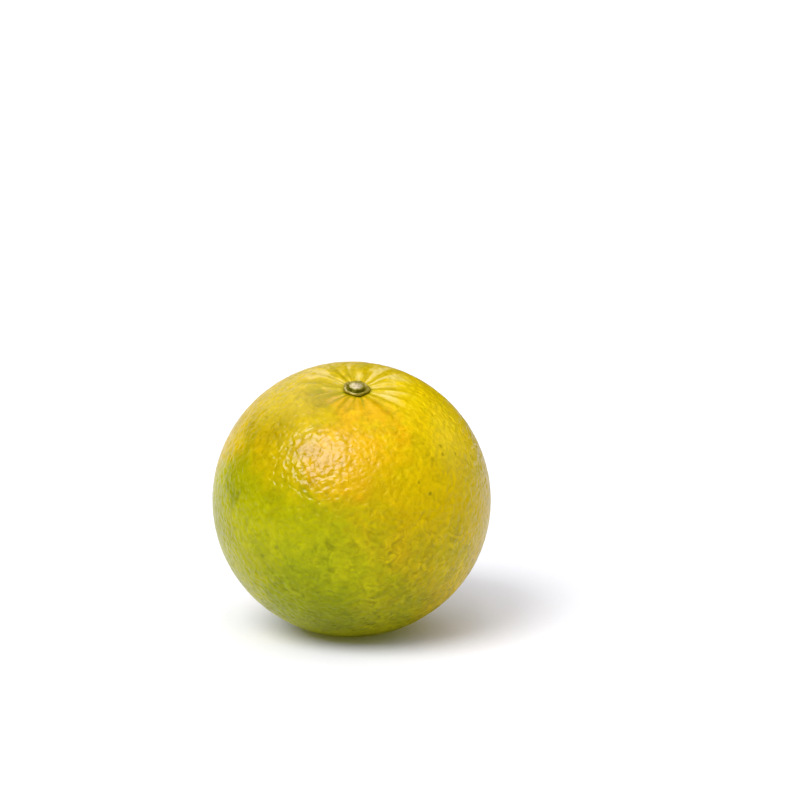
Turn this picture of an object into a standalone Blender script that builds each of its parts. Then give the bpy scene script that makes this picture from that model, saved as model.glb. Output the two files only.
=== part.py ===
"""Sweet lime: a whole round citrus fruit with its dry stem button, lying on a level surface.

Metres, +Z up, with the origin on the surface under the middle of the fruit. The stem end
leans forwards, towards -Y, and a little to the right, towards +X.
"""

import math

import bmesh
import bpy
import numpy as np
from mathutils import Euler, Vector
from mathutils.kdtree import KDTree

MM = 0.001

# The fruit as it lies
FRUIT_RADIUS = 36.0 * MM
END_FLATTENING = 0.012
SWELL_HEIGHT = 0.1 * MM
STEM_LEAN_FORWARD = math.radians(20.0)
STEM_LEAN_RIGHT = math.radians(2.2)
REST_FLAT_RADIUS = 6.0 * MM

# Stem end: a wide shallow cavity, a narrow one inside it and creases that fan out round them.
# Each wave round the stem is its size, its number of crests and its phase.
CAVITY_DEPTH = 1.5 * MM
CAVITY_REACH = math.radians(17.0)
SEAT_DEPTH = 0.8 * MM
SEAT_REACH = math.radians(8.0)
CREASE_COUNT = 13
CREASE_DEPTH = 0.5 * MM
CREASE_SHARPNESS = 1.4
CREASE_SHIFTS = ((0.2, 2, 1.1), (0.11, 3, 0.4))
CREASE_STRENGTHS = ((0.25, 2, 2.0),)
CREASE_START = math.radians(4.5)
CREASE_FULL = math.radians(10.0)
CREASE_FADE = math.radians(13.0)
CREASE_END = math.radians(30.0)

# Blossom end: a faint ring furrow round a small dry scar with a low lip
RING_ANGLE = math.radians(14.0)
RING_WIDTH = math.radians(3.0)
RING_DEPTH = 0.3 * MM
SCAR_ANGLE = math.radians(2.2)
SCAR_DEPTH = 0.5 * MM
LIP_ANGLE = math.radians(4.2)
LIP_WIDTH = math.radians(1.3)
LIP_HEIGHT = 0.22 * MM

# Peel: the surface's points, closer together at both ends
PEEL_POINT_COUNT = 5350
PEEL_POINT_SEED = 11
PEEL_POINT_JITTER = 0.08
STEM_CROWDING = 2.6
STEM_CROWDING_ANGLE = math.radians(20.0)
SCAR_CROWDING = 5.0
SCAR_CROWDING_ANGLE = math.radians(7.0)

# Peel: the pits of its oil glands, about twice their real size, flat at the ends and at rest
GLAND_COUNT = 1150
GLAND_SEED = 7
GLAND_JITTER = 0.22
GLAND_RADIUS = 2.4 * MM
GLAND_DEPTH_LEAST = 0.22 * MM
GLAND_DEPTH_MOST = 0.38 * MM
STEM_SMOOTH_ANGLE = math.radians(13.0)
STEM_PITTED_ANGLE = math.radians(34.0)
SCAR_SMOOTH_ANGLE = math.radians(5.0)
SCAR_PITTED_ANGLE = math.radians(12.0)
REST_SMOOTH_ANGLE = math.radians(12.0)
REST_PITTED_ANGLE = math.radians(20.0)

# Stem button: a calyx ring of five low lobes round the stub of the cut stem
BUTTON_GAP = 0.3 * MM
CALYX_RADIUS = 3.4 * MM
CALYX_CREST_RADIUS = 2.9 * MM
CALYX_HEIGHT = 0.8 * MM
GROOVE_RADIUS = 2.35 * MM
GROOVE_HEIGHT = 0.35 * MM
STUB_RADIUS = 1.95 * MM
STUB_HEIGHT = 1.25 * MM
LOBE_REACH = 0.06
LOBE_OUTLINE = ((1.0, 5, 2.2), (0.4, 2, 3.5))
LOBE_LIFT = 0.1 * MM
LOBE_CRESTS = ((1.0, 5, 0.0),)
STUB_OVALNESS = 0.05
STUB_OUTLINE = ((1.0, 2, 2.5),)
STUB_LIFT = 0.07 * MM
STUB_CRESTS = ((0.6, 3, 0.8), (0.4, 1, 2.4))
BUTTON_STEPS = 40

PEEL_COLOUR = (0.53, 0.42, 0.012)
PEEL_ROUGHNESS = 0.35
DRY_STEM_COLOUR = (0.42, 0.36, 0.2)
DRY_STEM_ROUGHNESS = 0.75

GOLDEN_ANGLE = math.pi * (3.0 - math.sqrt(5.0))
POLAR_STEPS = 2001
WELD_DISTANCE = 0.001 * MM
CUTTER_SIZE = 40.0 * MM

LEAN = Euler((STEM_LEAN_FORWARD, STEM_LEAN_RIGHT, 0.0))


def clear_scene():
    """Remove what the file opens with."""
    for thing in list(bpy.data.objects):
        bpy.data.objects.remove(thing, do_unlink=True)


def make_collection(name):
    """A new collection in the scene."""
    collection = bpy.data.collections.new(name)
    bpy.context.scene.collection.children.link(collection)
    return collection


def make_material(name, colour, roughness):
    """A Principled material of one colour."""
    material = bpy.data.materials.new(name)
    material.use_nodes = True
    shader = material.node_tree.nodes["Principled BSDF"]
    shader.inputs["Base Color"].default_value = (*colour, 1.0)
    shader.inputs["Roughness"].default_value = roughness
    shader.inputs["Metallic"].default_value = 0.0
    material.diffuse_color = (*colour, 1.0)
    return material


def make_object(name, bm, collection, parent=None):
    """Turn a bmesh into a smooth-shaded object in the collection."""
    mesh = bpy.data.meshes.new(name)
    bm.to_mesh(mesh)
    bm.free()
    mesh.shade_smooth()
    thing = bpy.data.objects.new(name, mesh)
    collection.objects.link(thing)
    thing.parent = parent
    return thing


def smooth_step(low, high, value):
    """Ease from 0 at low to 1 at high."""
    ratio = np.clip((value - low) / (high - low), 0.0, 1.0)
    return ratio * ratio * (3.0 - 2.0 * ratio)


def bell(value, centre, width):
    """A smooth bump of height 1 at centre."""
    return np.exp(-(((value - centre) / width) ** 2))


def waves(turn, terms):
    """Sum of whole waves round an axis, each a size, a number of crests and a phase."""
    return sum(size * np.sin(crests * turn + phase) for size, crests, phase in terms)


def towards(tilt, turn):
    """Unit directions at a tilt from the stem and a turn about it."""
    return np.stack([np.sin(tilt) * np.cos(turn), np.sin(tilt) * np.sin(turn), np.cos(tilt)], axis=-1)


def swell(directions):
    """Broad uneven growth that keeps the fruit from being a perfect ball."""
    x, y, z = np.moveaxis(directions, -1, 0)
    return SWELL_HEIGHT * (np.sin(2.6 * x + 1.3) * np.sin(2.1 * y - 0.7) + 0.6 * np.sin(3.1 * z + 2.2 * x))


def stem_hollow(tilt):
    """Depth of the cavity that the stem button sits in."""
    return CAVITY_DEPTH * bell(tilt, 0.0, CAVITY_REACH) + SEAT_DEPTH * bell(tilt, 0.0, SEAT_REACH)


def stem_creases(tilt, turn):
    """Depth of the creases round the stem, uneven in spacing and strength."""
    crest = np.cos(CREASE_COUNT * (turn + waves(turn, CREASE_SHIFTS)))
    crease = (0.5 + 0.5 * crest) ** CREASE_SHARPNESS
    strength = 0.75 + waves(turn, CREASE_STRENGTHS)
    start = smooth_step(CREASE_START, CREASE_FULL, tilt)
    fade = 1.0 - smooth_step(CREASE_FADE, CREASE_END, tilt)
    return CREASE_DEPTH * strength * crease * start * fade


def blossom_hollow(tilt):
    """Depth of the ring furrow and the scar, less the scar's lip, from the blossom end."""
    ring = RING_DEPTH * bell(tilt, RING_ANGLE, RING_WIDTH)
    scar = SCAR_DEPTH * bell(tilt, 0.0, SCAR_ANGLE)
    lip = LIP_HEIGHT * bell(tilt, LIP_ANGLE, LIP_WIDTH)
    return ring + scar - lip


def body_radius(directions):
    """Distance of the body from its middle along unit directions, before creases and pits."""
    along = np.clip(directions[..., 2], -1.0, 1.0)
    ball = FRUIT_RADIUS * (1.0 - END_FLATTENING * along**2) + swell(directions)
    tilt = np.arccos(along)
    return ball - stem_hollow(tilt) - blossom_hollow(math.pi - tilt)


def down_direction():
    """Straight down to the surface, seen from the leaning fruit."""
    return np.array(LEAN.to_matrix().inverted() @ Vector((0.0, 0.0, -1.0)))


def spiral(tilt):
    """Unit directions a golden angle apart, each at its own tilt from the stem."""
    return towards(tilt, GOLDEN_ANGLE * np.arange(len(tilt)))


def even_directions(count):
    """Unit directions spread evenly over a ball."""
    return spiral(np.arccos(1.0 - 2.0 * (np.arange(count) + 0.5) / count))


def crowded_directions(count):
    """Unit directions spread over a ball, closer together at the stem and at the scar."""
    tilt = np.linspace(0.0, math.pi, POLAR_STEPS)
    crowding = 1.0 + STEM_CROWDING * bell(tilt, 0.0, STEM_CROWDING_ANGLE)
    crowding += SCAR_CROWDING * bell(tilt, math.pi, SCAR_CROWDING_ANGLE)
    share = np.cumsum(crowding * np.sin(tilt))
    return spiral(np.interp((np.arange(count) + 0.5) / count, share / share[-1], tilt))


def jittered(directions, jitter, seed):
    """The directions moved about at random by a share of their mean spacing."""
    random = np.random.default_rng(seed)
    spacing = math.sqrt(4.0 * math.pi / len(directions))
    moved = directions + jitter * spacing * random.normal(size=directions.shape)
    return moved / np.linalg.norm(moved, axis=1)[:, None]


def gland_fade(directions):
    """Glands are full over most of the peel and flatten out at the ends and where it rests."""
    tilt = np.arccos(np.clip(directions[:, 2], -1.0, 1.0))
    from_rest = np.arccos(np.clip(directions @ down_direction(), -1.0, 1.0))
    stem = smooth_step(STEM_SMOOTH_ANGLE, STEM_PITTED_ANGLE, tilt)
    scar = smooth_step(SCAR_SMOOTH_ANGLE, SCAR_PITTED_ANGLE, math.pi - tilt)
    rest = smooth_step(REST_SMOOTH_ANGLE, REST_PITTED_ANGLE, from_rest)
    return stem * scar * rest


def gland_pits(directions):
    """Depth of the peel's pits: a round bowl about each gland, each of its own depth."""
    glands = jittered(even_directions(GLAND_COUNT), GLAND_JITTER, GLAND_SEED)
    random = np.random.default_rng(GLAND_SEED)
    depths = random.uniform(GLAND_DEPTH_LEAST, GLAND_DEPTH_MOST, GLAND_COUNT)
    tree = KDTree(GLAND_COUNT)
    for index, gland in enumerate(glands):
        tree.insert(gland, index)
    tree.balance()
    nearest = [tree.find(direction) for direction in directions]
    reach = np.array([distance for _, _, distance in nearest]) * FRUIT_RADIUS / GLAND_RADIUS
    bowl = np.clip(1.0 - reach**2, 0.0, 1.0) ** 2
    return depths[[index for _, index, _ in nearest]] * bowl * gland_fade(directions)


def peel_radius(directions):
    """Distance of the peel from the fruit's middle, with its creases and pits."""
    tilt = np.arccos(np.clip(directions[:, 2], -1.0, 1.0))
    turn = np.arctan2(directions[:, 1], directions[:, 0])
    return body_radius(directions) - stem_creases(tilt, turn) - gland_pits(directions)


def build_fruit(collection, parent):
    """The whole fruit: peel and flesh as one solid."""
    directions = jittered(crowded_directions(PEEL_POINT_COUNT), PEEL_POINT_JITTER, PEEL_POINT_SEED)
    bm = bmesh.new()
    points = [bm.verts.new(direction) for direction in directions]
    bmesh.ops.convex_hull(bm, input=points)
    for point, place in zip(points, directions * peel_radius(directions)[:, None]):
        point.co = place
    bmesh.ops.recalc_face_normals(bm, faces=bm.faces[:])
    fruit = make_object("fruit", bm, collection, parent)
    fruit.data.materials.append(make_material("peel", PEEL_COLOUR, PEEL_ROUGHNESS))
    return fruit


def seat_height(reach):
    """Height of the body above the fruit's middle, at a reach from the stem's axis."""
    direction = towards(math.asin(reach / FRUIT_RADIUS), 0.0)
    return float(body_radius(direction) * direction[2])


def button_profile():
    """Reach and height of the button's outline, from its middle below to its middle above."""
    reaches = [share * CALYX_RADIUS for share in (0.0, 0.4, 0.7, 0.88)]
    underside = [(reach, seat_height(reach) - seat_height(0.0)) for reach in reaches]
    return underside + [
        (0.98 * CALYX_RADIUS, 0.5 * CALYX_HEIGHT),
        (CALYX_RADIUS, 0.66 * CALYX_HEIGHT),
        (0.96 * CALYX_RADIUS, 0.88 * CALYX_HEIGHT),
        (CALYX_CREST_RADIUS, CALYX_HEIGHT),
        (0.5 * (CALYX_CREST_RADIUS + GROOVE_RADIUS), 0.8 * CALYX_HEIGHT),
        (GROOVE_RADIUS, GROOVE_HEIGHT),
        (STUB_RADIUS, 1.2 * GROOVE_HEIGHT),
        (0.98 * STUB_RADIUS, 0.8 * STUB_HEIGHT),
        (0.88 * STUB_RADIUS, STUB_HEIGHT),
        (0.6 * STUB_RADIUS, 0.97 * STUB_HEIGHT),
        (0.28 * STUB_RADIUS, 0.9 * STUB_HEIGHT),
        (0.0, 0.88 * STUB_HEIGHT),
    ]


def shape_button_point(point):
    """Move a point of the round button out to its lobes and its uneven stub."""
    reach = math.hypot(point.x, point.y)
    turn = math.atan2(point.y, point.x)
    on_calyx = float(smooth_step(GROOVE_RADIUS, CALYX_RADIUS, reach))
    on_stub = float(smooth_step(GROOVE_RADIUS, STUB_RADIUS, reach))
    on_top = float(smooth_step(GROOVE_HEIGHT, CALYX_HEIGHT, point.z))
    lobes = LOBE_REACH * on_calyx * waves(turn, LOBE_OUTLINE)
    oval = STUB_OVALNESS * on_stub * waves(turn, STUB_OUTLINE)
    lobe_lift = LOBE_LIFT * on_calyx * waves(turn, LOBE_CRESTS)
    stub_lift = STUB_LIFT * on_stub * reach / STUB_RADIUS * waves(turn, STUB_CRESTS)
    grow = 1.0 + lobes + oval
    return Vector((point.x * grow, point.y * grow, point.z + on_top * (lobe_lift + stub_lift)))


def build_button(collection, parent):
    """Calyx ring and stem stub as one turned piece, shaped into its lobes and set on its seat."""
    bm = bmesh.new()
    corners = [bm.verts.new((reach, 0.0, height)) for reach, height in button_profile()]
    profile = [bm.edges.new(pair) for pair in zip(corners, corners[1:])]
    bmesh.ops.spin(
        bm,
        geom=corners + profile,
        cent=(0.0, 0.0, 0.0),
        axis=(0.0, 0.0, 1.0),
        angle=math.tau,
        steps=BUTTON_STEPS,
        use_merge=True,
    )
    bmesh.ops.remove_doubles(bm, verts=bm.verts[:], dist=WELD_DISTANCE)
    for vertex in bm.verts:
        vertex.co = shape_button_point(vertex.co)
    bmesh.ops.triangulate(bm, faces=bm.faces[:])
    bmesh.ops.recalc_face_normals(bm, faces=bm.faces[:])
    button = make_object("stem_button", bm, collection, parent)
    button.data.materials.append(make_material("dry_stem", DRY_STEM_COLOUR, DRY_STEM_ROUGHNESS))
    button.location.z = seat_height(0.0) + BUTTON_GAP


def cut_rest_flat(fruit, collection):
    """Cut the fruit level with the surface that it rests on."""
    bm = bmesh.new()
    bmesh.ops.create_cube(bm, size=CUTTER_SIZE)
    cutter = make_object("surface_cutter", bm, collection)
    cutter.location.z = -0.5 * CUTTER_SIZE
    cutter.hide_render = True
    cutter.display_type = "WIRE"
    cut = fruit.modifiers.new("rest flat", "BOOLEAN")
    cut.operation = "DIFFERENCE"
    cut.solver = "EXACT"
    cut.object = cutter


def main():
    """Build the fruit and its button, leaning as they lie."""
    clear_scene()
    parts = make_collection("sweet_lime")
    cutters = make_collection("cutters")
    middle = bpy.data.objects.new("fruit_middle", None)
    parts.objects.link(middle)
    middle.rotation_euler = LEAN
    middle.location.z = math.sqrt(float(body_radius(down_direction())) ** 2 - REST_FLAT_RADIUS**2)
    fruit = build_fruit(parts, middle)
    build_button(parts, middle)
    cut_rest_flat(fruit, cutters)


main()
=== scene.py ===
"""Looks of a whole sweet lime: its pitted yellow-green peel and its dry stem button.

Metres, +Z up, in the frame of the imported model. The peel and the button are shaped in the
fruit's own frame, with the stem along +Z, and then leant as the fruit lies.
"""

import math

import bmesh
import bpy
import numpy as np
from mathutils import Euler, Matrix, Vector
from mathutils.kdtree import KDTree
from mathutils.noise import noise as solid_noise, ridged_multi_fractal


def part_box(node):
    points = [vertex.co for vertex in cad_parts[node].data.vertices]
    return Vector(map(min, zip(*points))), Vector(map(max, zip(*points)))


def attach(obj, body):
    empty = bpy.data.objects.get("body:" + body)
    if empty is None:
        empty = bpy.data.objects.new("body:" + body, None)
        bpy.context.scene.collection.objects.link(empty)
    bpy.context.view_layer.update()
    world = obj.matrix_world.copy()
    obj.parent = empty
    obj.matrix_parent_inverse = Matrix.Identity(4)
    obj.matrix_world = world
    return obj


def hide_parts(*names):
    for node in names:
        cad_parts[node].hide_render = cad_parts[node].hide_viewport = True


MM = 0.001

# The fruit's form, as in the part's source but for rounder creases
END_FLATTENING = 0.012
SWELL_HEIGHT = 0.1 * MM
SWELL_ACROSS = (2.6, 1.3)  # radians to a radius across, phase
SWELL_FORWARD = (2.1, -0.7)  # radians to a radius forward, phase
SWELL_UPRIGHT = (3.1, 2.2)  # radians to a radius upright, and to one across
SWELL_UPRIGHT_SHARE = 0.6
STEM_LEAN_FORWARD = math.radians(20.0)
STEM_LEAN_RIGHT = math.radians(2.2)
REST_FLAT_RADIUS = 6.0 * MM
CAVITY_DEPTH = 1.5 * MM
CAVITY_REACH = math.radians(17.0)
SEAT_DEPTH = 0.8 * MM
SEAT_REACH = math.radians(8.0)
CREASE_COUNT = 13
CREASE_DEPTH = 0.5 * MM
CREASE_SHARPNESS = 1.1
CREASE_SHIFTS = ((0.2, 2, 1.1), (0.11, 3, 0.4))
CREASE_STRENGTH = 0.75
CREASE_STRENGTHS = ((0.25, 2, 2.0),)
CREASE_START = math.radians(4.5)
CREASE_FULL = math.radians(10.0)
CREASE_FADE = math.radians(13.0)
CREASE_END = math.radians(30.0)
RING_ANGLE = math.radians(14.0)
RING_WIDTH = math.radians(3.0)
RING_DEPTH = 0.3 * MM
SCAR_ANGLE = math.radians(2.2)
SCAR_DEPTH = 0.5 * MM
LIP_ANGLE = math.radians(4.2)
LIP_WIDTH = math.radians(1.3)
LIP_HEIGHT = 0.22 * MM

# Fine creases between the broad ones
FINE_CREASE_COUNT = 31
FINE_CREASE_DEPTH = 0.11 * MM
FINE_CREASE_SHIFTS = ((0.13, 3, 0.3), (0.09, 5, 2.0))

# Fine peel: its points and the pits of its oil glands at true size
PEEL_POINT_COUNT = 23400
PEEL_POINT_SEED = 11
PEEL_POINT_JITTER = 0.1
PEEL_INSET = 0.08 * MM
GLAND_COUNT = 6000
GLAND_SEED = 7
GLAND_JITTER = 0.3
GLAND_RADIUS = 0.98 * MM
GLAND_DEPTH_LEAST = 0.08 * MM
GLAND_DEPTH_MOST = 0.24 * MM
GLAND_WARP = 0.01
GLAND_WARP_WAVES = 70.0
CRINKLE_SIZE = 2.6 * MM
CRINKLE_HEIGHT = 0.05 * MM
CRINKLE_MEAN = 1.0
CRINKLE_FRACTAL = (1.0, 2.0, 2.0, 1.0, 2.0)  # roughness, lacunarity, octaves, offset, gain
STEM_SMOOTH_ANGLE = math.radians(7.0)
STEM_PITTED_ANGLE = math.radians(24.0)
SCAR_SMOOTH_ANGLE = math.radians(5.0)
SCAR_PITTED_ANGLE = math.radians(12.0)
REST_SMOOTH_ANGLE = math.radians(14.0)
REST_PITTED_ANGLE = math.radians(50.0)

# Stem button: the calyx ring, the groove inside it and the stub of the stem
CALYX_RADIUS = 3.4 * MM
CALYX_CREST_RADIUS = 2.9 * MM
CALYX_HEIGHT = 0.8 * MM
GROOVE_RADIUS = 2.35 * MM
GROOVE_HEIGHT = 0.35 * MM
STUB_RADIUS = 1.95 * MM
STUB_HEIGHT = 1.25 * MM
LOBE_REACH = 0.06
LOBE_OUTLINE = ((1.0, 5, 2.2), (0.4, 2, 3.5), (0.18, 9, 0.5), (0.12, 17, 1.0))
LOBE_LIFT = 0.1 * MM
LOBE_CRESTS = ((1.0, 5, 0.0), (0.3, 11, 0.9))
STUB_OVALNESS = 0.05
STUB_OUTLINE = ((1.0, 2, 2.5), (0.3, 7, 0.3), (0.2, 13, 1.9))
STUB_LIFT = 0.07 * MM
STUB_CRESTS = ((0.6, 3, 0.8), (0.4, 1, 2.4))
BUTTON_GAP = 0.12 * MM
BUTTON_UNDERSIDE = (0.0, 0.4, 0.7, 0.88)
BUTTON_STEPS = 144
BUTTON_PROFILE_STEPS = 6
BUTTON_ROUGH_SIZE = 0.55 * MM
BUTTON_ROUGH_HEIGHT = 0.07 * MM
WELD_DISTANCE = 1e-6

GOLDEN_ANGLE = math.pi * (3.0 - math.sqrt(5.0))
LEAN = Euler((STEM_LEAN_FORWARD, STEM_LEAN_RIGHT, 0.0))

# Angles in the tables and fades of looks are in degrees, and x and y are photograph pixels.

# The peel's greener and riper zones: x, y, reach, change of ripeness
RIPENESS_ZONES = (
    (304, 600, 31.0, -0.25),
    (436, 556, 22.0, -0.08),
    (355, 518, 15.0, -0.08),
    (248, 462, 13.0, -0.09),
    (292, 404, 14.0, 0.12),
    (366, 418, 12.0, 0.1),
    (332, 484, 9.0, 0.07),
    (386, 586, 13.0, 0.08),
)
# Zones of painted light and painted shade, partly the peel's own darker and lighter tone: x, y,
# reach, change of shade
PAINTED_LIGHT_AND_SHADE_ZONES = (
    (266, 462, 28.0, -0.22),
    (286, 410, 22.0, -0.14),
    (224, 516, 18.0, -0.14),
    (376, 570, 17.0, -0.1),
    (460, 434, 15.0, 0.1),
    (358, 604, 12.0, 0.09),
    (252, 412, 15.0, -0.15),
    (324, 436, 16.0, -0.14),
    (236, 446, 16.0, -0.09),
    (288, 430, 22.0, -0.05),
    (296, 500, 16.0, -0.07),
    (420, 532, 16.0, -0.07),
    (352, 403, 8.0, 0.08),
    (332, 612, 24.0, -0.09),
    (256, 560, 20.0, -0.07),
    (280, 486, 16.0, -0.08),
    (350, 472, 12.0, 0.07),
    (324, 546, 12.0, 0.03),
    (354, 512, 31.0, -0.21),
    (400, 520, 12.0, 0.05),
    (438, 556, 32.0, -0.11),
    (438, 408, 30.0, 0.28),
    (378, 376, 14.0, 0.06),
    (330, 400, 8.0, -0.16),
)
# The larger dark specks: x, y, reach, strength
SPECKS = (
    (439, 447, 1.1, 0.5),
    (441, 455, 1.1, 0.5),
    (431, 460, 1.5, 0.35),
    (454, 454, 1.0, 0.35),
    (417, 483, 1.0, 0.4),
    (428, 494, 1.1, 0.6),
    (265, 554, 1.3, 0.35),
    (279, 546, 1.6, 0.35),
)
RIPENESS_ZONE_CORE = 4.0
SHADE_ZONE_CORE = 3.0

# The orange blush, and the dull blooms that are partly a painted sheen: x, y, inner reach, outer
# reach
BLUSHES = ((348, 457, 10.0, 25.0), (367, 424, 6.0, 20.0))
BLOOMS_AND_SHEEN = ((294, 396, 4.0, 22.0), (462, 444, 4.0, 26.0))
BLUSH_RIPENESS = 0.27
BLOOM_AND_SHEEN_STRENGTH = 0.16

# Noises: waves in a metre, detail, roughness, curl
WANDER = (75.0, 5.0, 0.6)
BACK_PATCHES = (38.0, 2.0)
BLOTCHES = (170.0, 3.0, 0.6)
FINE_BLOTCHES = (600.0, 2.0, 0.55)
WRINKLES = (400.0, 1.0, 0.5, 1.4)
WRINKLE_PATCHES = (260.0, 1.0)
RIPPLES = (760.0, 0.3, 0.5, 0.6)
SPECK_RAGGEDNESS = (900.0, 2.0)
STEM_GRAIN = (1500.0, 4.0, 0.65)
STEM_STAINS = (620.0, 3.0, 0.6)
FLOOR_TOOTH = (900.0, 2.0)
NOISE_MEAN = 0.5

# Sides of the fruit as the camera sees it: right, above, near
GREEN_SIDE = (-0.58, -0.765, 0.28)
LOW_SIDE = (0.2, -0.93, 0.28)
FAR_SIDE = (0.0, 0.0, -1.0)
NEAR_SIDE = (0.0, 0.0, 1.0)

# Eases: the value that starts and the value that ends them, and what they give there
GREEN_SIDE_EASE = (0.24, 0.62, 0.7, 0.37)
FAR_SIDE_EASE = (0.05, 0.6)
BACK_PATCH_EASE = (0.4, 0.7, 0.05, -0.35)
# Painted shade: the peel darker towards the low side
LOW_PAINTED_SHADE_EASE = (0.76, 0.99, 1.0, 0.63)
LOW_WRINKLE_EASE = (0.4, 0.65, 1.1, 2.5)
WRINKLE_PATCH_EASE = (0.35, 0.6, 0.2, 0.5)
FRONT_CREST_EASE = (0.3, 0.85, 0.55, 0.15)
CREST_EASE = (0.46, 0.7)
DIP_EASE = (0.56, 0.34)
FINE_SPECK_EDGE = (0.035, 0.07, 1.0, 0.0)
FINE_SPECK_CHOICE = (0.6, 1.0, 0.0, 0.6)
PEEL_ROUGHNESS_EASE = (0.3, 0.7, 0.3, 0.37)
STAIN_EASE = (0.42, 0.6, 0.0, 0.7)

# Fades by angle: the outer and the inner angle, and what they give there
STEM_WRINKLE_FADE = (55.0, 30.0, 0.0, 0.4)
# Painted shade round the button's edge
BUTTON_EDGE_SHADE_FADE = (8.0, 5.5, 0.0, 0.6)
STEM_RIPPLE_FADE = (32.0, 10.0, 1.0, 0.2)
REST_RIPPLE_FADE = (46.0, 18.0, 1.0, 0.35)

# How far noise moves the edges of what it warps
RIPENESS_WARP = 0.34
SHADE_WARP = 0.15
FOLD_WARP = 1.8
SCAR_WARP = 0.03
SPECK_WARP = 0.016

# Peel: mottling, darker pits, painted shade in creases, folds, specks and relief
BLOTCH_STRENGTH = 0.24
FINE_BLOTCH_STRENGTH = 0.16
PIT_SHADE = -0.12
CREASE_PAINTED_SHADE = -0.18
FOLD_WAVES_ROUND = 5.2
FOLD_WAVES_ALONG = 9.0
FOLD_NOISE = (1.0, 2.0, 0.5)
FOLD_MIDDLE = (math.radians(8.0), math.radians(90.0))  # tilt, turn
FOLD_REACH = (13.0, 30.0)  # inner, outer
# Where the painted shade in the fold dips is greyest, and how much more it gets there
GREYEST_SHADED_DIPS = (326, 400, 3.0, 13.0)  # x, y, inner reach, outer reach
SHADED_DIP_LEAST = 0.4
SHADED_DIP_MORE = 0.45
FINE_SPECK_CELLS = 150.0
SPECK_HARDNESS = 1.3
SCAR_REACH = (2.6, 4.4)  # inner, outer
RELIEF_DEPTH = 0.24 * MM
WRINKLE_RELIEF = 0.08
PEEL_GLOSS = 0.55
PEEL_GLOSS_TINT = (1.0, 0.97, 0.9, 1.0)

# The peel's colour from unripe, 0, to fully ripe, 1
PEEL_COLOURS = (
    (0.0, (0.185, 0.22, 0.002)),
    (0.2, (0.235, 0.26, 0.002)),
    (0.4, (0.36, 0.35, 0.002)),
    (0.55, (0.43, 0.352, 0.002)),
    (0.7, (0.53, 0.369, 0.002)),
    (0.85, (0.57, 0.365, 0.003)),
    (1.0, (0.605, 0.338, 0.005)),
)
# Painted light on the crests of the folds round the stem
LIT_CREST_COLOUR = (0.76, 0.62, 0.22)
# Grey of the dull blooms and their painted sheen
BLOOM_AND_SHEEN_COLOUR = (0.46, 0.4, 0.15)
# Painted shade in the dips of the folds and round the button's edge
PAINTED_SHADE_GREY = (0.24, 0.215, 0.012)
SPECK_COLOUR = (0.06, 0.065, 0.01)
SCAR_COLOUR = (0.16, 0.09, 0.035)

# The button's colour from its middle, 0, to its rim, 1; the near-black band from 0.555 to 0.7 is
# painted shade on the stub's side and in the groove
BUTTON_COLOURS = (
    (0.0, (0.62, 0.48, 0.33)),
    (0.3, (0.62, 0.54, 0.32)),
    (0.5, (0.42, 0.36, 0.16)),
    (0.555, (0.045, 0.05, 0.015)),
    (0.7, (0.06, 0.06, 0.02)),
    (0.8, (0.58, 0.5, 0.22)),
    (0.92, (0.4, 0.3, 0.1)),
    (1.0, (0.17, 0.12, 0.03)),
)
CALYX_BROWN = (0.3, 0.23, 0.08)
STAIN_AND_DARK_RIGHT = (0.11, 0.09, 0.03)

# The button's own directions and the eases across it, in its own frame
CALYX_BACK = (0.35, 1.0, 0.0)
CALYX_BACK_EASE = (-0.6 * CALYX_RADIUS, 0.4 * CALYX_RADIUS, 0.0, 0.8)
CALYX_EASE = (0.42, 0.54)
STUB_RIGHT_EASE = (-0.1 * STUB_RADIUS, 0.7 * STUB_RADIUS, 0.0, 0.7)
STUB_EASE = (0.62, 0.5)
GRAIN_STRENGTH = 0.14
GRAIN_RELIEF_DEPTH = 0.12 * MM
STEM_ROUGHNESS = 0.75
STEM_GLOSS = 0.2

# Floor, lights and the grade
FLOOR_SIZE = 20.0
FLOOR_STEPS = 8
FLOOR_COLOURS = ((0.0, (0.78, 0.78, 0.82)), (1.0, (0.82, 0.82, 0.86)))
FLOOR_ROUGHNESS = 0.9
FLOOR_GLOW = 0.045
WHITE = (1.0, 1.0, 1.0, 1.0)
KEY_ANGLE = math.radians(36.0)
KEY_STRENGTH = 2.42
KEY_PIXEL = (319, 454)
BASE_LIGHT = 0.1
# Small lamps for the glints: where the fruit mirrors them, then inner reach, outer reach, strength
GLINT_PIXELS = ((352, 436), (352, 448), (352, 460))
GLINT = (2.0, 6.0, 5.0)
# The grade's curve for blue: value in, value out
BLUE_CURVE = ((0.02, 0.002), (0.05, 0.008), (0.1, 0.045), (0.16, 0.13), (0.24, 0.23), (0.4, 0.4))

# The photograph's frame, its outline of the fruit in pixels, and the line of sight
IMAGE_WIDTH = 800
OUTLINE_MIDDLE = (351.6, 499.2)
OUTLINE_RADIUS = 139.3
CAMERA_ELEVATION = math.radians(14.0)
CAMERA_DISTANCE = 0.82
SENSOR_WIDTH = 36.0


def smooth_step(low, high, value):
    """Ease from 0 at low to 1 at high."""
    ratio = np.clip((value - low) / (high - low), 0.0, 1.0)
    return ratio * ratio * (3.0 - 2.0 * ratio)


def bell(value, centre, width):
    """A smooth bump of height 1 at centre."""
    return np.exp(-(((value - centre) / width) ** 2))


def waves(turn, terms):
    """Sum of whole waves round an axis, each a size, a number of crests and a phase."""
    return sum(size * np.sin(crests * turn + phase) for size, crests, phase in terms)


def towards(tilt, turn):
    """Unit directions at a tilt from the stem and a turn about it."""
    across, forward = np.sin(tilt) * np.cos(turn), np.sin(tilt) * np.sin(turn)
    return np.stack([across, forward, np.cos(tilt)], axis=-1)


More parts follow.
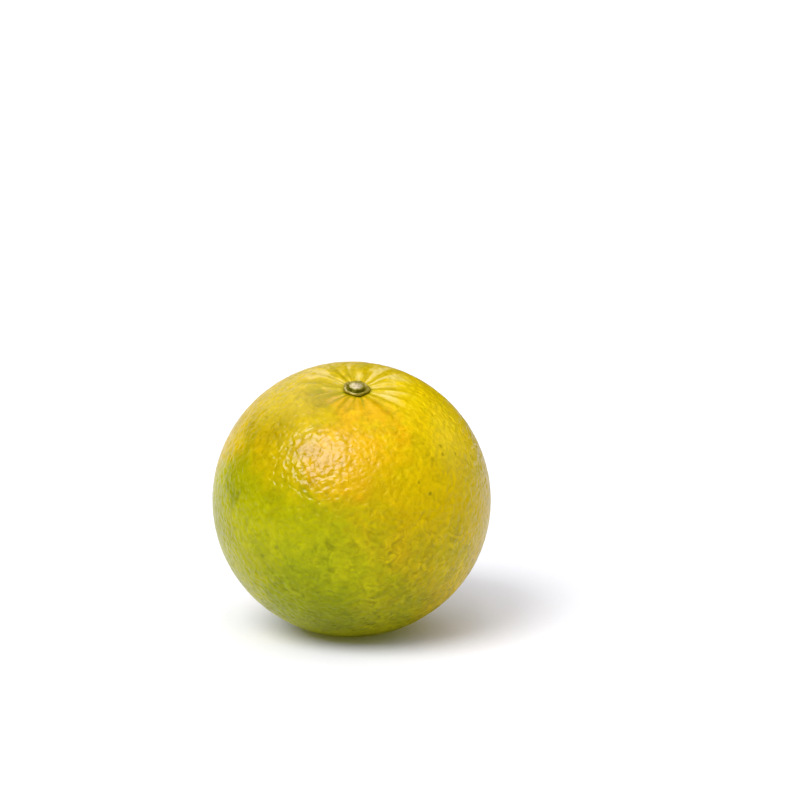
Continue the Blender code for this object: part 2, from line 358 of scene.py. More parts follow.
def swell(directions):
    """Broad uneven growth that keeps the fruit from being a perfect ball."""
    x, y, z = np.moveaxis(directions, -1, 0)
    across = np.sin(SWELL_ACROSS[0] * x + SWELL_ACROSS[1])
    forward = np.sin(SWELL_FORWARD[0] * y + SWELL_FORWARD[1])
    upright = np.sin(SWELL_UPRIGHT[0] * z + SWELL_UPRIGHT[1] * x)
    return SWELL_HEIGHT * (across * forward + SWELL_UPRIGHT_SHARE * upright)


def stem_hollow(tilt):
    """Depth of the cavity that the stem button sits in."""
    return CAVITY_DEPTH * bell(tilt, 0.0, CAVITY_REACH) + SEAT_DEPTH * bell(tilt, 0.0, SEAT_REACH)


def stem_creases(tilt, turn):
    """The broad creases round the stem and the fine ones between them, about 1 at their deepest."""
    crest = np.cos(CREASE_COUNT * (turn + waves(turn, CREASE_SHIFTS)))
    crease = (0.5 + 0.5 * crest) ** CREASE_SHARPNESS
    strength = CREASE_STRENGTH + waves(turn, CREASE_STRENGTHS)
    fine_crest = np.cos(FINE_CREASE_COUNT * (turn + waves(turn, FINE_CREASE_SHIFTS)))
    fine_crease = FINE_CREASE_DEPTH / CREASE_DEPTH * (0.5 + 0.5 * fine_crest)
    start = smooth_step(CREASE_START, CREASE_FULL, tilt)
    fade = 1.0 - smooth_step(CREASE_FADE, CREASE_END, tilt)
    return (strength * crease + fine_crease) * start * fade


def blossom_hollow(tilt):
    """Depth of the ring furrow and the scar, less the scar's lip, from the blossom end."""
    ring = RING_DEPTH * bell(tilt, RING_ANGLE, RING_WIDTH)
    scar = SCAR_DEPTH * bell(tilt, 0.0, SCAR_ANGLE)
    lip = LIP_HEIGHT * bell(tilt, LIP_ANGLE, LIP_WIDTH)
    return ring + scar - lip


def body_radius(directions, ball_radius):
    """Distance of the body from its middle along unit directions, before creases and pits."""
    along = np.clip(directions[..., 2], -1.0, 1.0)
    ball = ball_radius * (1.0 - END_FLATTENING * along**2) + swell(directions)
    tilt = np.arccos(along)
    return ball - stem_hollow(tilt) - blossom_hollow(math.pi - tilt)


def down_direction():
    """Straight down to the surface, seen from the leaning fruit."""
    return np.array(LEAN.to_matrix().inverted() @ Vector((0.0, 0.0, -1.0)))


def even_directions(count):
    """Unit directions spread evenly over a ball, a golden angle apart."""
    tilt = np.arccos(1.0 - 2.0 * (np.arange(count) + 0.5) / count)
    return towards(tilt, GOLDEN_ANGLE * np.arange(count))


def jittered(directions, jitter, seed):
    """The directions moved about at random by a share of their mean spacing."""
    random = np.random.default_rng(seed)
    spacing = math.sqrt(4.0 * math.pi / len(directions))
    moved = directions + jitter * spacing * random.normal(size=directions.shape)
    return moved / np.linalg.norm(moved, axis=1)[:, None]


def gland_fade(directions):
    """Glands are full over most of the peel and flatten out at the ends and where it rests."""
    tilt = np.arccos(np.clip(directions[:, 2], -1.0, 1.0))
    from_rest = np.arccos(np.clip(directions @ down_direction(), -1.0, 1.0))
    stem = smooth_step(STEM_SMOOTH_ANGLE, STEM_PITTED_ANGLE, tilt)
    scar = smooth_step(SCAR_SMOOTH_ANGLE, SCAR_PITTED_ANGLE, math.pi - tilt)
    rest = smooth_step(REST_SMOOTH_ANGLE, REST_PITTED_ANGLE, from_rest)
    return stem * scar * rest


def gland_bowls(directions, ball_radius):
    """How deep each direction lies in its gland's pit, from 0 on the rim to 1, and which gland."""
    glands = jittered(even_directions(GLAND_COUNT), GLAND_JITTER, GLAND_SEED)
    tree = KDTree(GLAND_COUNT)
    for index, gland in enumerate(glands):
        tree.insert(gland, index)
    tree.balance()
    warp = GLAND_WARP * np.sin(GLAND_WARP_WAVES * np.roll(directions, 1, axis=1))
    nearest = [tree.find(direction) for direction in directions + warp]
    reach = np.array([distance for _, _, distance in nearest]) * ball_radius / GLAND_RADIUS
    bowl = np.clip(1.0 - reach**2, 0.0, 1.0) ** 2
    return bowl, np.array([index for _, index, _ in nearest])


def crinkles(directions, ball_radius):
    """Height of the fine crinkled ridges between the pits, as a share of their greatest height."""
    places = directions * (ball_radius / CRINKLE_SIZE)
    heights = [ridged_multi_fractal(place, *CRINKLE_FRACTAL) for place in places]
    return np.clip(np.array(heights) - CRINKLE_MEAN, -1.0, 1.0)


def peel_net():
    """A fine closed net of triangles on a unit ball."""
    directions = jittered(even_directions(PEEL_POINT_COUNT), PEEL_POINT_JITTER, PEEL_POINT_SEED)
    bm = bmesh.new()
    bmesh.ops.convex_hull(bm, input=[bm.verts.new(direction) for direction in directions])
    loose = [vertex for vertex in bm.verts if not vertex.link_faces]
    bmesh.ops.delete(bm, geom=loose, context="VERTS")
    bmesh.ops.subdivide_edges(bm, edges=bm.edges[:], cuts=1, use_grid_fill=True)
    bmesh.ops.recalc_face_normals(bm, faces=bm.faces[:])
    mesh = bpy.data.meshes.new("fruit_peel")
    bm.to_mesh(mesh)
    bm.free()
    return mesh


def add_point_values(mesh, name, values):
    """Store one number for each vertex, for the materials to read."""
    layer = mesh.attributes.new(name, "FLOAT", "POINT")
    layer.data.foreach_set("value", values.astype(np.float32))


def make_piece(name, mesh, material, node):
    """Show a mesh as a smooth piece of the fruit that stands for a node of the model."""
    mesh.shade_smooth()
    mesh.materials.append(material)
    piece = bpy.data.objects.new(name, mesh)
    bpy.context.scene.collection.objects.link(piece)
    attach(piece, "root")
    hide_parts(node)


def build_peel(ball_radius, middle_height):
    """The whole peel with its creases and pits, flat where the fruit rests."""
    mesh = peel_net()
    places = np.empty(len(mesh.vertices) * 3, np.float32)
    mesh.vertices.foreach_get("co", places)
    directions = places.reshape(-1, 3).astype(float)
    directions /= np.linalg.norm(directions, axis=1)[:, None]
    tilt = np.arccos(np.clip(directions[:, 2], -1.0, 1.0))
    turn = np.arctan2(directions[:, 1], directions[:, 0])
    bowl, gland = gland_bowls(directions, ball_radius)
    random = np.random.default_rng(GLAND_SEED)
    depths = random.uniform(GLAND_DEPTH_LEAST, GLAND_DEPTH_MOST, GLAND_COUNT)
    shades = random.uniform(0.0, 1.0, GLAND_COUNT)
    fade = gland_fade(directions)
    radius = body_radius(directions, ball_radius) - PEEL_INSET
    creases = stem_creases(tilt, turn)
    crinkle = crinkles(directions, ball_radius)
    pits = depths[gland] * bowl * fade
    radius -= CREASE_DEPTH * creases + pits - CRINKLE_HEIGHT * crinkle * fade
    places = directions * radius[:, None]
    down = down_direction()
    below = np.maximum(places @ down - middle_height, 0.0)
    places -= below[:, None] * down
    places = places @ np.array(LEAN.to_matrix()).T + np.array((0.0, 0.0, middle_height))
    mesh.vertices.foreach_set("co", places.astype(np.float32).ravel())
    add_point_values(mesh, "pit", bowl * fade)
    add_point_values(mesh, "gland_shade", shades[gland])
    add_point_values(mesh, "crease", creases)
    return mesh


def seat_height(reach, ball_radius):
    """Height of the body above the fruit's middle, at a reach from the stem's axis."""
    direction = towards(math.asin(reach / ball_radius), 0.0)
    return float(body_radius(direction, ball_radius) * direction[2])


def button_profile(ball_radius):
    """Reach and height of the button's outline, from its middle below to its middle above."""
    seat = seat_height(0.0, ball_radius)
    reaches = [share * CALYX_RADIUS for share in BUTTON_UNDERSIDE]
    underside = [(reach, seat_height(reach, ball_radius) - seat) for reach in reaches]
    return underside + [
        (0.98 * CALYX_RADIUS, 0.5 * CALYX_HEIGHT),
        (CALYX_RADIUS, 0.66 * CALYX_HEIGHT),
        (0.96 * CALYX_RADIUS, 0.88 * CALYX_HEIGHT),
        (CALYX_CREST_RADIUS, CALYX_HEIGHT),
        (0.5 * (CALYX_CREST_RADIUS + GROOVE_RADIUS), 0.8 * CALYX_HEIGHT),
        (GROOVE_RADIUS, GROOVE_HEIGHT),
        (STUB_RADIUS, 1.2 * GROOVE_HEIGHT),
        (0.98 * STUB_RADIUS, 0.8 * STUB_HEIGHT),
        (0.88 * STUB_RADIUS, STUB_HEIGHT),
        (0.6 * STUB_RADIUS, 0.97 * STUB_HEIGHT),
        (0.28 * STUB_RADIUS, 0.9 * STUB_HEIGHT),
        (0.0, 0.88 * STUB_HEIGHT),
    ]


def eased_profile(corners, steps):
    """The outline with more points, on a smooth curve through its corners."""
    points = np.array(corners)
    padded = np.vstack([2 * points[0] - points[1], points, 2 * points[-1] - points[-2]])
    share = np.arange(steps)[:, None] / steps
    eased = []
    for before, start, end, after in zip(padded, padded[1:], padded[2:], padded[3:]):
        leave = 0.5 * (end - before)
        arrive = 0.5 * (after - start)
        bend = 3.0 * (end - start) - 2.0 * leave - arrive
        settle = 2.0 * (start - end) + leave + arrive
        eased.extend(start + share * leave + share**2 * bend + share**3 * settle)
    eased.append(points[-1])
    eased = np.array(eased)
    eased[:, 0] = np.maximum(eased[:, 0], 0.0)
    return eased


def shape_button_point(point):
    """Move a point of the round button out to its lobes, its uneven stub and its rough skin."""
    reach = math.hypot(point.x, point.y)
    turn = math.atan2(point.y, point.x)
    on_calyx = float(smooth_step(GROOVE_RADIUS, CALYX_RADIUS, reach))
    on_stub = float(smooth_step(GROOVE_RADIUS, STUB_RADIUS, reach))
    on_top = float(smooth_step(GROOVE_HEIGHT, CALYX_HEIGHT, point.z))
    lobes = LOBE_REACH * on_calyx * waves(turn, LOBE_OUTLINE)
    oval = STUB_OVALNESS * on_stub * waves(turn, STUB_OUTLINE)
    lobe_lift = LOBE_LIFT * on_calyx * waves(turn, LOBE_CRESTS)
    stub_lift = STUB_LIFT * on_stub * reach / STUB_RADIUS * waves(turn, STUB_CRESTS)
    grow = 1.0 + lobes + oval
    rough = BUTTON_ROUGH_HEIGHT * on_top * solid_noise(point / BUTTON_ROUGH_SIZE)
    height = point.z + on_top * (lobe_lift + stub_lift) + rough
    return Vector((point.x * grow, point.y * grow, height))


def build_button(ball_radius, middle_height):
    """Calyx ring and stem stub as one turned piece, shaped and set on its seat."""
    bm = bmesh.new()
    outline = eased_profile(button_profile(ball_radius), BUTTON_PROFILE_STEPS)
    corners = [bm.verts.new((reach, 0.0, height)) for reach, height in outline]
    profile = [bm.edges.new(pair) for pair in zip(corners, corners[1:])]
    bmesh.ops.spin(
        bm,
        geom=corners + profile,
        cent=(0.0, 0.0, 0.0),
        axis=(0.0, 0.0, 1.0),
        angle=math.tau,
        steps=BUTTON_STEPS,
        use_merge=True,
    )
    bmesh.ops.remove_doubles(bm, verts=bm.verts[:], dist=WELD_DISTANCE)
    for vertex in bm.verts:
        vertex.co = shape_button_point(vertex.co)
    bmesh.ops.recalc_face_normals(bm, faces=bm.faces[:])
    mesh = bpy.data.meshes.new("stem_remnant")
    bm.to_mesh(mesh)
    bm.free()
    mesh.transform(button_matrix(ball_radius, middle_height))
    return mesh


def button_matrix(ball_radius, middle_height):
    """Where the button's own frame stands in the model."""
    seat = Vector((0.0, 0.0, seat_height(0.0, ball_radius) + BUTTON_GAP))
    middle = Matrix.Translation((0.0, 0.0, middle_height))
    return middle @ LEAN.to_matrix().to_4x4() @ Matrix.Translation(seat)


class Nodes:
    """Adds nodes to a node tree and joins them up."""

    def __init__(self, tree):
        self.tree = tree

    def add(self, kind, inputs=None, **settings):
        """A node with its settings, and values or other nodes' outputs on its inputs."""
        node = self.tree.nodes.new(kind)
        for name, value in settings.items():
            setattr(node, name, value)
        for name, value in (inputs or {}).items():
            if isinstance(value, bpy.types.NodeSocket):
                self.tree.links.new(value, node.inputs[name])
            else:
                node.inputs[name].default_value = value
        return node

    def math(self, operation, first, second=0.0, third=0.0):
        """Arithmetic on numbers."""
        inputs = {0: first, 1: second, 2: third}
        return self.add("ShaderNodeMath", inputs, operation=operation).outputs[0]

    def vector(self, operation, first, second=(0.0, 0.0, 0.0)):
        """Arithmetic on vectors."""
        node = self.add("ShaderNodeVectorMath", {0: first, 1: second}, operation=operation)
        return node.outputs["Value" if operation in ("DOT_PRODUCT", "LENGTH") else "Vector"]

    def scaled(self, vector, scale):
        """A vector times a number."""
        inputs = {0: vector, "Scale": scale}
        return self.add("ShaderNodeVectorMath", inputs, operation="SCALE").outputs[0]

    def eased(self, value, low, high, start=0.0, end=1.0):
        """A value eased from start at low to end at high."""
        limits = {"From Min": low, "From Max": high, "To Min": start, "To Max": end}
        node = self.add(
            "ShaderNodeMapRange", {"Value": value, **limits}, interpolation_type="SMOOTHSTEP"
        )
        return node.outputs["Result"]

    def within(self, nearness, outer, inner, start=0.0, end=1.0):
        """The cosine of an angle eased from start at an outer angle to end at an inner one."""
        limits = [math.cos(math.radians(angle)) for angle in (outer, inner)]
        return self.eased(nearness, *limits, start, end)

    def raised(self, base, value, amount):
        """A base plus an amount of a value."""
        return self.math("MULTIPLY_ADD", value, amount, base)

    def varied(self, base, noise, amount):
        """A base with an amount of noise, up and down."""
        return self.raised(base, self.math("SUBTRACT", noise, NOISE_MEAN), amount)

    def noise(self, vector, scale, detail=2.0, roughness=0.5, curl=0.0, output=0):
        """Soft random variation from 0 to 1, a number or, as output 1, a vector."""
        inputs = {"Scale": scale, "Detail": detail, "Roughness": roughness, "Distortion": curl}
        node = self.add("ShaderNodeTexNoise", {"Vector": vector, **inputs})
        return node.outputs[output]

    def wander(self, vector, *noise):
        """A small vector that varies softly in all directions."""
        return self.vector("SUBTRACT", self.noise(vector, *noise, output=1), 3 * (NOISE_MEAN,))

    def shifted(self, vector, offset, amount):
        """A vector plus an amount of another."""
        return self.vector("ADD", vector, self.scaled(offset, amount))

    def stored(self, name):
        """A number stored for each vertex of the mesh."""
        return self.add("ShaderNodeAttribute", attribute_name=name).outputs["Fac"]

    def ramp(self, value, stops):
        """A colour looked up along a row of places and colours."""
        node = self.add("ShaderNodeValToRGB", {"Fac": value})
        elements = node.color_ramp.elements
        while len(elements) < len(stops):
            elements.new(1.0)
        for element, (place, colour) in zip(elements, stops):
            element.position = place
            element.color = (*colour, 1.0)
        return node.outputs["Color"]

    def mix(self, share, first, second):
        """A colour mixed with a share of a second, plain one."""
        node = self.add("ShaderNodeMix", data_type="RGBA")
        factor, start, end = node.inputs[0], node.inputs[6], node.inputs[7]
        self.tree.links.new(share, factor)
        self.tree.links.new(first, start)
        end.default_value = (*second, 1.0)
        return node.outputs[2]


def seen_axis(right, above, near):
    """An axis given by its parts to the right, upwards and towards the camera."""
    rise, fall = math.sin(CAMERA_ELEVATION), math.cos(CAMERA_ELEVATION)
    return Vector((right, above * rise - near * fall, above * fall + near * rise))


def seen_at(x, y):
    """The direction from the fruit's middle to what the photograph shows at a pixel."""
    right = (x - OUTLINE_MIDDLE[0]) / OUTLINE_RADIUS
    above = (OUTLINE_MIDDLE[1] - y) / OUTLINE_RADIUS
    return seen_axis(right, above, math.sqrt(1.0 - right**2 - above**2))


def mirrored_at(x, y):
    """The direction that the fruit mirrors to the camera at a pixel of the photograph."""
    outward = seen_at(x, y)
    return (-seen_axis(*NEAR_SIDE)).reflect(outward)


def spot(nodes, direction, centre, inner, outer):
    """A round mask that is 1 within an inner angle of a centre and 0 beyond an outer one."""
    return nodes.within(nodes.vector("DOT_PRODUCT", direction, centre), outer, inner)


def new_material(name):
    """A new material and what adds to its nodes."""
    material = bpy.data.materials.new(name)
    material.use_nodes = True
    return material, Nodes(material.node_tree)


def peel_ripeness(nodes, centred, direction, warped, fine):
    """How ripe the peel is: 0 deep green, 0.4 yellow-green, 0.7 yellow, 1 orange."""
    greenness = nodes.vector("DOT_PRODUCT", warped, seen_axis(*GREEN_SIDE))
    ripeness = nodes.eased(greenness, *GREEN_SIDE_EASE)
    blushes = [spot(nodes, warped, seen_at(x, y), *reach) for x, y, *reach in BLUSHES]
    ripeness = nodes.raised(ripeness, nodes.math("MAXIMUM", *blushes), BLUSH_RIPENESS)
    for x, y, outer, change in RIPENESS_ZONES:
        zone = spot(nodes, warped, seen_at(x, y), RIPENESS_ZONE_CORE, outer)
        ripeness = nodes.raised(ripeness, zone, change)
    patches = nodes.eased(nodes.noise(centred, *BACK_PATCHES), *BACK_PATCH_EASE)
    farness = nodes.vector("DOT_PRODUCT", direction, seen_axis(*FAR_SIDE))
    ripeness = nodes.raised(ripeness, patches, nodes.eased(farness, *FAR_SIDE_EASE))
    ripeness = nodes.varied(ripeness, nodes.noise(centred, *BLOTCHES), BLOTCH_STRENGTH)
    return nodes.varied(ripeness, fine, FINE_BLOTCH_STRENGTH)


def peel_shade(nodes, centred, direction, soft_edged, near_stem, wrinkle):
    """How light the peel is: painted shade low down, zones of painted light and shade, darker pits,
    painted shade in creases, with curved mottling.
    """
    low_down = nodes.vector("DOT_PRODUCT", direction, seen_axis(*LOW_SIDE))
    # Painted shade, darker towards the low side
    shade = nodes.eased(low_down, *LOW_PAINTED_SHADE_EASE)
    # Zones of painted light and shade, partly the peel's own tone
    for x, y, outer, change in PAINTED_LIGHT_AND_SHADE_ZONES:
        zone = spot(nodes, soft_edged, seen_at(x, y), SHADE_ZONE_CORE, outer)
        shade = nodes.raised(shade, zone, change)
    strength = nodes.eased(low_down, *LOW_WRINKLE_EASE)
    strength = nodes.math("ADD", strength, nodes.within(near_stem, *STEM_WRINKLE_FADE))
    patches = nodes.eased(nodes.noise(centred, *WRINKLE_PATCHES), *WRINKLE_PATCH_EASE)
    shade = nodes.varied(shade, wrinkle, nodes.math("MULTIPLY", patches, strength))
    # Darker in the gland pits: partly the glands' own tone, partly painted shade in the pits
    pit_shade = nodes.math("MULTIPLY", nodes.stored("gland_shade"), PIT_SHADE)
    shade = nodes.raised(shade, nodes.stored("pit"), pit_shade)
    # Painted shade in the creases round the stem
    return nodes.raised(shade, nodes.stored("crease"), CREASE_PAINTED_SHADE)


def with_folds(nodes, colour, own, warped, wander, near_stem):
    """Folds round the stem, with painted light on their crests and painted shade in their
    grey-green dips, greyest to the front left, and painted shade round the button's edge.
    """
    flat = nodes.vector("NORMALIZE", nodes.vector("MULTIPLY", own, (1.0, 1.0, 0.0)))
    height = nodes.math("MULTIPLY", near_stem, FOLD_WAVES_ALONG)
    along = nodes.add("ShaderNodeCombineXYZ", {"Z": height}).outputs[0]
    along = nodes.shifted(along, wander, FOLD_WARP)
    fold = nodes.noise(nodes.shifted(along, flat, FOLD_WAVES_ROUND), *FOLD_NOISE)
    folded = spot(nodes, own, towards(*FOLD_MIDDLE), *FOLD_REACH)
    in_front = nodes.vector("DOT_PRODUCT", flat, (0.0, -1.0, 0.0))
    in_front = nodes.eased(in_front, *FRONT_CREST_EASE)
    # Painted light on the crests of the folds
    crest = nodes.math("MULTIPLY", nodes.eased(fold, *CREST_EASE), in_front)
    colour = nodes.mix(nodes.math("MULTIPLY", crest, folded), colour, LIT_CREST_COLOUR)
    # Painted shade in the dips of the folds, greyest to the front left
    x, y, *reach = GREYEST_SHADED_DIPS
    dip_shade_share = nodes.raised(SHADED_DIP_LEAST, spot(nodes, warped, seen_at(x, y), *reach), SHADED_DIP_MORE)
    shaded_dip = nodes.math("MULTIPLY", nodes.eased(fold, *DIP_EASE), folded)
    colour = nodes.mix(nodes.math("MULTIPLY", shaded_dip, dip_shade_share), colour, PAINTED_SHADE_GREY)
    # Painted shade where the peel meets the button
    return nodes.mix(nodes.within(near_stem, *BUTTON_EDGE_SHADE_FADE), colour, PAINTED_SHADE_GREY)


def with_marks(nodes, colour, centred, direction, own, soft_edged, wander):
    """Dull blooms with a painted sheen, dark specks, and the brown scar at the blossom end."""
    bloom_and_sheen = 0.0
    # Dull blooms, partly a painted sheen
    for x, y, *reach in BLOOMS_AND_SHEEN:
        bloom_and_sheen = nodes.raised(bloom_and_sheen, spot(nodes, soft_edged, seen_at(x, y), *reach), BLOOM_AND_SHEEN_STRENGTH)
    colour = nodes.mix(bloom_and_sheen, colour, BLOOM_AND_SHEEN_COLOUR)
    ragged = nodes.wander(centred, *SPECK_RAGGEDNESS)
    ragged = nodes.vector("NORMALIZE", nodes.shifted(direction, ragged, SPECK_WARP))
    cells = nodes.add("ShaderNodeTexVoronoi", {"Vector": centred, "Scale": FINE_SPECK_CELLS})
    chosen = nodes.add("ShaderNodeSeparateColor", {"Color": cells.outputs["Color"]}).outputs[0]
    speck = nodes.eased(cells.outputs["Distance"], *FINE_SPECK_EDGE)
    speck = nodes.math("MULTIPLY", speck, nodes.eased(chosen, *FINE_SPECK_CHOICE))
    for x, y, reach, strength in SPECKS:
        mark = spot(nodes, ragged, seen_at(x, y), 0.0, reach)
        mark = nodes.math("POWER", mark, SPECK_HARDNESS)
        speck = nodes.math("MAXIMUM", speck, nodes.math("MULTIPLY", mark, strength))
    colour = nodes.mix(speck, colour, SPECK_COLOUR)
    scar = spot(nodes, nodes.shifted(own, wander, SCAR_WARP), (0.0, 0.0, -1.0), *SCAR_REACH)
    return nodes.mix(scar, colour, SCAR_COLOUR)


def peel_material(middle_height):
    """Ripe yellow over yellow-green, with an orange blush, painted light and shade, folds round the
    stem and mottling.
    """
    material, nodes = new_material("peel")
    place = nodes.add("ShaderNodeTexCoord").outputs["Object"]
    centred = nodes.vector("SUBTRACT", place, (0.0, 0.0, middle_height))
    direction = nodes.vector("NORMALIZE", centred)
    leaning = {"Vector": direction, "Rotation": LEAN}
    own = nodes.add("ShaderNodeMapping", leaning, vector_type="TEXTURE").outputs[0]
    near_stem = nodes.vector("DOT_PRODUCT", own, (0.0, 0.0, 1.0))
    near_floor = nodes.vector("DOT_PRODUCT", direction, (0.0, 0.0, -1.0))
    wander = nodes.wander(centred, *WANDER)
    warped = nodes.shifted(direction, wander, RIPENESS_WARP)
    soft_edged = nodes.shifted(direction, wander, SHADE_WARP)
    fine = nodes.noise(centred, *FINE_BLOTCHES)
    wrinkle = nodes.noise(centred, *WRINKLES)

    ripeness = peel_ripeness(nodes, centred, direction, warped, fine)
    shade = peel_shade(nodes, centred, direction, soft_edged, near_stem, wrinkle)
    colour = nodes.scaled(nodes.ramp(ripeness, PEEL_COLOURS), shade)
    colour = with_folds(nodes, colour, own, warped, wander, near_stem)
    colour = with_marks(nodes, colour, centred, direction, own, soft_edged, wander)

    by_stem = nodes.within(near_stem, *STEM_RIPPLE_FADE)
    rippled = nodes.math("MULTIPLY", by_stem, nodes.within(near_floor, *REST_RIPPLE_FADE))
    height = nodes.math("MULTIPLY", nodes.noise(centred, *RIPPLES), rippled)
    height = nodes.raised(height, wrinkle, WRINKLE_RELIEF)
    relief = nodes.add("ShaderNodeBump", {"Distance": RELIEF_DEPTH, "Height": height})
    shader = nodes.tree.nodes["Principled BSDF"]
    nodes.tree.links.new(colour, shader.inputs["Base Color"])
    nodes.tree.links.new(relief.outputs[0], shader.inputs["Normal"])
    nodes.tree.links.new(nodes.eased(fine, *PEEL_ROUGHNESS_EASE), shader.inputs["Roughness"])
    shader.inputs["Specular IOR Level"].default_value = PEEL_GLOSS
    shader.inputs["Specular Tint"].default_value = PEEL_GLOSS_TINT
    return material


def dry_stem_material(matrix):
    """Cream cut wood and calyx, browner behind, with stains and a darker right side, and painted
    shade on the stub's side and in the groove.
    """
    material, nodes = new_material("dry_stem")
    place = nodes.add("ShaderNodeTexCoord").outputs["Object"]
    placing = {"Vector": place, "Location": matrix.to_translation(), "Rotation": LEAN}
    own = nodes.add("ShaderNodeMapping", placing, vector_type="TEXTURE").outputs[0]
    reach = nodes.vector("LENGTH", nodes.vector("MULTIPLY", own, (1.0, 1.0, 0.0)))
    reach = nodes.math("MULTIPLY", reach, 1.0 / CALYX_RADIUS)
    grain = nodes.noise(own, *STEM_GRAIN)
    reach = nodes.varied(reach, grain, GRAIN_STRENGTH)
    # Near-black painted shade on the stub's side and in the groove
    colour = nodes.ramp(reach, BUTTON_COLOURS)
    behind = nodes.eased(nodes.vector("DOT_PRODUCT", own, CALYX_BACK), *CALYX_BACK_EASE)
    behind = nodes.math("MULTIPLY", behind, nodes.eased(reach, *CALYX_EASE))
    colour = nodes.mix(behind, colour, CALYX_BROWN)
    # Stains here and there, and darker on the right side of the stub's top
    to_right = nodes.vector("DOT_PRODUCT", own, (1.0, 0.0, 0.0))
    to_right = nodes.eased(to_right, *STUB_RIGHT_EASE)
    to_right = nodes.math("MULTIPLY", to_right, nodes.eased(reach, *STUB_EASE))
    stain = nodes.eased(nodes.noise(own, *STEM_STAINS), *STAIN_EASE)
    colour = nodes.mix(nodes.math("MAXIMUM", stain, to_right), colour, STAIN_AND_DARK_RIGHT)
    relief = nodes.add("ShaderNodeBump", {"Distance": GRAIN_RELIEF_DEPTH, "Height": grain})
    shader = nodes.tree.nodes["Principled BSDF"]
    nodes.tree.links.new(colour, shader.inputs["Base Color"])
    nodes.tree.links.new(relief.outputs[0], shader.inputs["Normal"])
    shader.inputs["Roughness"].default_value = STEM_ROUGHNESS
    shader.inputs["Specular IOR Level"].default_value = STEM_GLOSS
    return material


def floor_material():
    """Matte white paper with a faint tooth, and a faint glow for the light of a white set."""
    material, nodes = new_material("floor")
    place = nodes.add("ShaderNodeTexCoord").outputs["Object"]
    colour = nodes.ramp(nodes.noise(place, *FLOOR_TOOTH), FLOOR_COLOURS)
    shader = nodes.tree.nodes["Principled BSDF"]
    nodes.tree.links.new(colour, shader.inputs["Base Color"])
    shader.inputs["Roughness"].default_value = FLOOR_ROUGHNESS
    shader.inputs["Emission Color"].default_value = WHITE
    shader.inputs["Emission Strength"].default_value = FLOOR_GLOW
    shader.inputs["Specular IOR Level"].default_value = 0.0
    return material


def add_floor():
    """A wide pale floor."""
    bm = bmesh.new()
    bmesh.ops.create_grid(bm, x_segments=FLOOR_STEPS, y_segments=FLOOR_STEPS, size=FLOOR_SIZE)
    mesh = bpy.data.meshes.new("floor")
    bm.to_mesh(mesh)
    bm.free()
    mesh.materials.append(floor_material())
    floor = bpy.data.objects.new("floor", mesh)
    bpy.context.scene.collection.objects.link(floor)


def add_key_light():
    """A soft light from the upper left in front of the fruit."""
    light = bpy.data.lights.new("key", "SUN")
    light.angle = KEY_ANGLE
    light.energy = KEY_STRENGTH
    lamp = bpy.data.objects.new("key", light)
    bpy.context.scene.collection.objects.link(lamp)
    lamp.rotation_euler = mirrored_at(*KEY_PIXEL).to_track_quat("Z", "Y").to_euler()


def add_world():
    """A white studio: bright above and behind, dim in front, with small lamps for the glints."""
    world = bpy.data.worlds.new("studio")
    world.use_nodes = True
    nodes = Nodes(world.node_tree)
    direction = nodes.add("ShaderNodeTexCoord").outputs["Generated"]
    # Panels of light: middle, inner reach, outer reach, strength
    panels = [
        (Vector((-0.1, -0.1, 1.0)), 25.0, 60.0, 1.05),
        (seen_axis(-0.459, 0.483, -0.745), 12.0, 40.0, 0.8),
        (Vector((0.93, 0.25, 0.3)), 12.0, 34.0, 0.6),
        (seen_axis(0.05, 0.0, 1.0), 15.0, 50.0, 0.7),
    ]
    panels += [(mirrored_at(x, y), *GLINT) for x, y in GLINT_PIXELS]
    light = BASE_LIGHT
    for middle, inner, outer, strength in panels:
        panel = spot(nodes, direction, middle.normalized(), inner, outer)
        light = nodes.raised(light, panel, strength)
    background = nodes.tree.nodes["Background"]
    background.inputs["Color"].default_value = WHITE
    nodes.tree.links.new(light, background.inputs["Strength"])
    bpy.context.scene.world = world


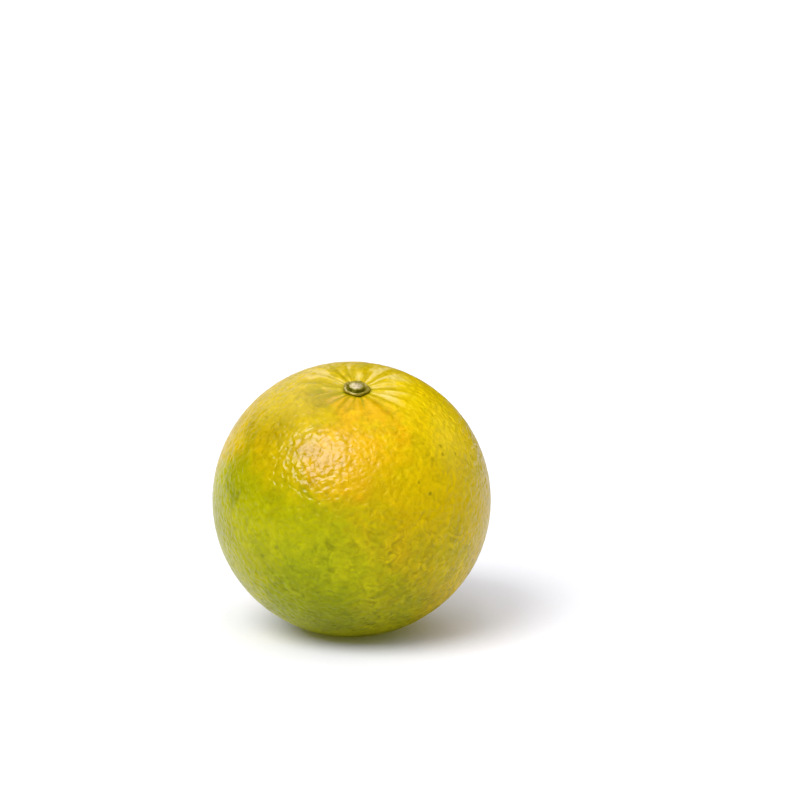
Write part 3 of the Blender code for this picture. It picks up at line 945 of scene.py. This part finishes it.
def add_camera(middle_height, ball_radius):
    """A camera that sees the fruit's outline where the photograph has it."""
    pixels_per_turn = OUTLINE_RADIUS * math.sqrt(CAMERA_DISTANCE**2 - ball_radius**2) / ball_radius
    data = bpy.data.cameras.new("camera")
    data.sensor_width = SENSOR_WIDTH
    data.lens = SENSOR_WIDTH * pixels_per_turn / IMAGE_WIDTH
    camera = bpy.data.objects.new("camera", data)
    bpy.context.scene.collection.objects.link(camera)
    back = seen_axis(*NEAR_SIDE)
    camera.location = Vector((0.0, 0.0, middle_height)) + back * CAMERA_DISTANCE
    across = (OUTLINE_MIDDLE[0] - 0.5 * IMAGE_WIDTH) / pixels_per_turn
    above = (0.5 * IMAGE_WIDTH - OUTLINE_MIDDLE[1]) / pixels_per_turn
    off_axis = Vector((0.0, 0.0, -1.0)).rotation_difference(Vector((across, above, -1.0)))
    facing = (-back).to_track_quat("-Z", "Y") @ off_axis.inverted()
    camera.rotation_euler = facing.to_euler()
    bpy.context.scene.camera = camera


def grade_colours():
    """Plain colours with richer yellows: weak blues are held back, as in the photograph."""
    view = bpy.context.scene.view_settings
    view.view_transform = "Standard"
    view.use_curve_mapping = True
    blue = view.curve_mapping.curves[2]
    for place, value in BLUE_CURVE:
        blue.points.new(place, value)
    view.curve_mapping.update()


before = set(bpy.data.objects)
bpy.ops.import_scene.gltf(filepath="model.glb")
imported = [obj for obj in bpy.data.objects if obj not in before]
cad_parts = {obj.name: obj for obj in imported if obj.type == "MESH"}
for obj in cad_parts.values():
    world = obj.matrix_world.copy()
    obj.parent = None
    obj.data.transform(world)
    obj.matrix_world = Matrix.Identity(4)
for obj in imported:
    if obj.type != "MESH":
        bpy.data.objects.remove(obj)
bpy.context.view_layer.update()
low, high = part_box("fruit")
ball_radius = 0.5 * (high.x - low.x)
lowest = float(body_radius(down_direction(), ball_radius))
middle_height = math.sqrt(lowest**2 - REST_FLAT_RADIUS**2)

peel_mesh = build_peel(ball_radius, middle_height)
make_piece("fruit_peel", peel_mesh, peel_material(middle_height), "fruit")
button_mesh = build_button(ball_radius, middle_height)
button_skin = dry_stem_material(button_matrix(ball_radius, middle_height))
make_piece("stem_remnant", button_mesh, button_skin, "stem_button")

add_floor()
add_world()
add_key_light()
add_camera(middle_height, ball_radius)
grade_colours()
